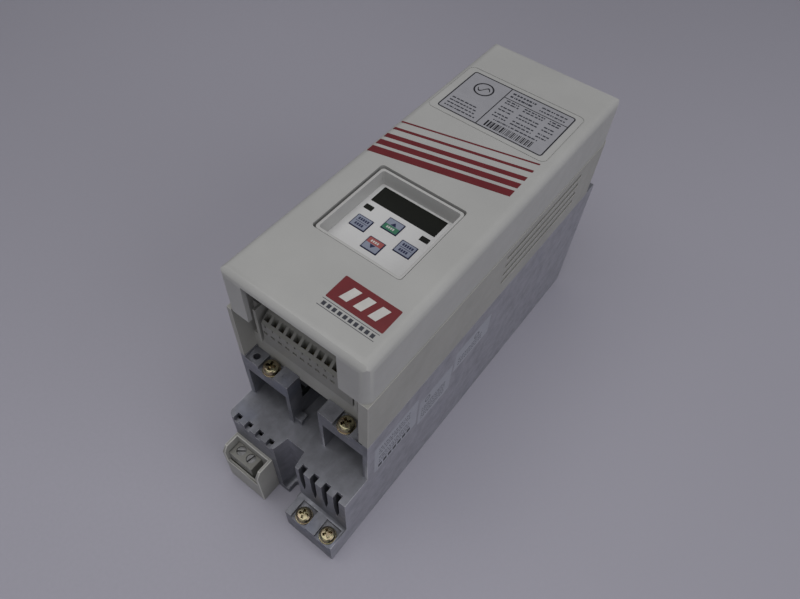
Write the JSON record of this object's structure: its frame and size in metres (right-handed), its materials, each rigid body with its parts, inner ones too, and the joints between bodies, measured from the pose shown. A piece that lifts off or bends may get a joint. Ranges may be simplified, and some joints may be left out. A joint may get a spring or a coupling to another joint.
{
  "type": "variable frequency drive",
  "caption": "Book-shaped motor drive with a die-cast heat sink, plastic cover, plug-in keypad, control terminal strip, earth tabs and a cooling fan.",
  "frame": {"origin": "on the mounting face, under the middle of the drive's length and width", "axes": "+Z out of the front panel, +Y towards the fan end, +X towards the side with the stickers"},
  "size_m": [0.09, 0.292, 0.1811],
  "materials": {
    "cast_metal": "matte as-cast, slightly grained",
    "fin_metal": "matte as-cast",
    "cover_plastic": "fine moulded grain",
    "housing_plastic": "fine moulded grain",
    "label_film": "satin silver film",
    "stripe_ink": "satin print",
    "badge_ink": "satin print",
    "sticker_film": "thin satin film",
    "operator_plastic": "fine moulded grain",
    "face_film": "satin film",
    "window_plastic": "polished",
    "display_plastic": "moulded",
    "led_plastic": "polished",
    "switch_plastic": "moulded",
    "board_laminate": "solder mask",
    "plug_metal": "tinned",
    "key_grey": "satin",
    "key_green": "satin",
    "key_red": "satin",
    "terminal_plastic": "moulded",
    "zinc_steel": "yellow zinc plating",
    "contact_brass": "bright",
    "chip_plastic": "moulded",
    "can_sleeve": "shrink sleeve",
    "cable_sheath": "satin",
    "module_plastic": "moulded",
    "film_case": "moulded",
    "relay_case": "moulded",
    "core_metal": "varnished winding",
    "block_plastic": "moulded",
    "fan_plastic": "moulded",
    "copper_winding": "enamelled wire",
    "plain_steel": "bright",
    "steel_spacer": "bright"
  },
  "bodies": {
    "drive": {"heatsink_housing": "cast_metal", "cooling_fins": "fin_metal", "lower_housing": "housing_plastic", "side_labels": "sticker_film", "control_header": "block_plastic", "header_pins": "contact_brass", "control_board": "board_laminate", "processor": "chip_plastic", "board_capacitors": "can_sleeve", "flat_cable": "cable_sheath", "power_board": "board_laminate", "board_spacers": "steel_spacer", "inverter_module": "module_plastic", "rectifier_module": "module_plastic", "dc_capacitors": "can_sleeve", "film_capacitors": "film_case", "charging_relay": "relay_case", "mains_choke": "core_metal", "supply_transformer": "core_metal", "line_terminals": "block_plastic", "motor_terminals": "block_plastic", "power_terminal_screws": "zinc_steel", "tab_washers": "zinc_steel", "tab_screws": "zinc_steel", "ledge_washers": "zinc_steel", "ledge_screws": "zinc_steel", "terminal_shroud": "housing_plastic", "sensor_terminal": "terminal_plastic", "sensor_screws": "plain_steel", "fan_frame": "fan_plastic", "fan_bearings": "plain_steel", "fan_stator": "copper_winding", "fan_guard": "plain_steel", "fan_screws": "zinc_steel"},
    "cover": {"front_cover": "cover_plastic", "rating_label": "label_film", "stripe_print": "stripe_ink", "badge": "badge_ink"},
    "operator": {"operator_frame": "operator_plastic", "operator_face_plate": "face_film", "display_window": "window_plastic", "led_windows": "window_plastic", "display_block": "display_plastic", "operator_leds": "led_plastic", "key_switches": "switch_plastic", "operator_board": "board_laminate", "operator_socket": "block_plastic", "operator_back_cover": "operator_plastic", "operator_plug": "plug_metal"},
    "terminal_plug": {"control_plug": "terminal_plastic", "control_screws": "zinc_steel"},
    "rotor": {"fan_rotor": "fan_plastic", "fan_shaft": "plain_steel"},
    "key_left_cap": {"key_left": "key_grey"},
    "key_right_cap": {"key_right": "key_grey"},
    "key_up_cap": {"key_up": "key_green"},
    "key_down_cap": {"key_down": "key_red"}
  },
  "joints": [
    {"name": "cover_lift", "type": "slide", "parent": "drive", "child": "cover", "axis": [0, 0, 1], "range_m": [0, 0.05]},
    {"name": "operator_pull", "type": "slide", "parent": "cover", "child": "operator", "axis": [0, 0, 1], "range_m": [0, 0.024]},
    {"name": "key_left_press", "type": "slide", "parent": "operator", "child": "key_left_cap", "axis": [0, 0, -1], "range_m": [0, 0.0005], "stiffness_N_per_m": 2000},
    {"name": "key_right_press", "type": "slide", "parent": "operator", "child": "key_right_cap", "axis": [0, 0, -1], "range_m": [0, 0.0005], "stiffness_N_per_m": 2000},
    {"name": "key_up_press", "type": "slide", "parent": "operator", "child": "key_up_cap", "axis": [0, 0, -1], "range_m": [0, 0.0005], "stiffness_N_per_m": 2000},
    {"name": "key_down_press", "type": "slide", "parent": "operator", "child": "key_down_cap", "axis": [0, 0, -1], "range_m": [0, 0.0005], "stiffness_N_per_m": 2000},
    {"name": "plug_pull", "type": "slide", "parent": "drive", "child": "terminal_plug", "axis": [0, -1, 0], "range_m": [0, 0.01]},
    {"name": "fan_spin", "type": "hinge", "parent": "drive", "child": "rotor", "pos_m": [0, 0.1193, 0.035], "axis": [0, 1, 0], "continuous": true}
  ]
}
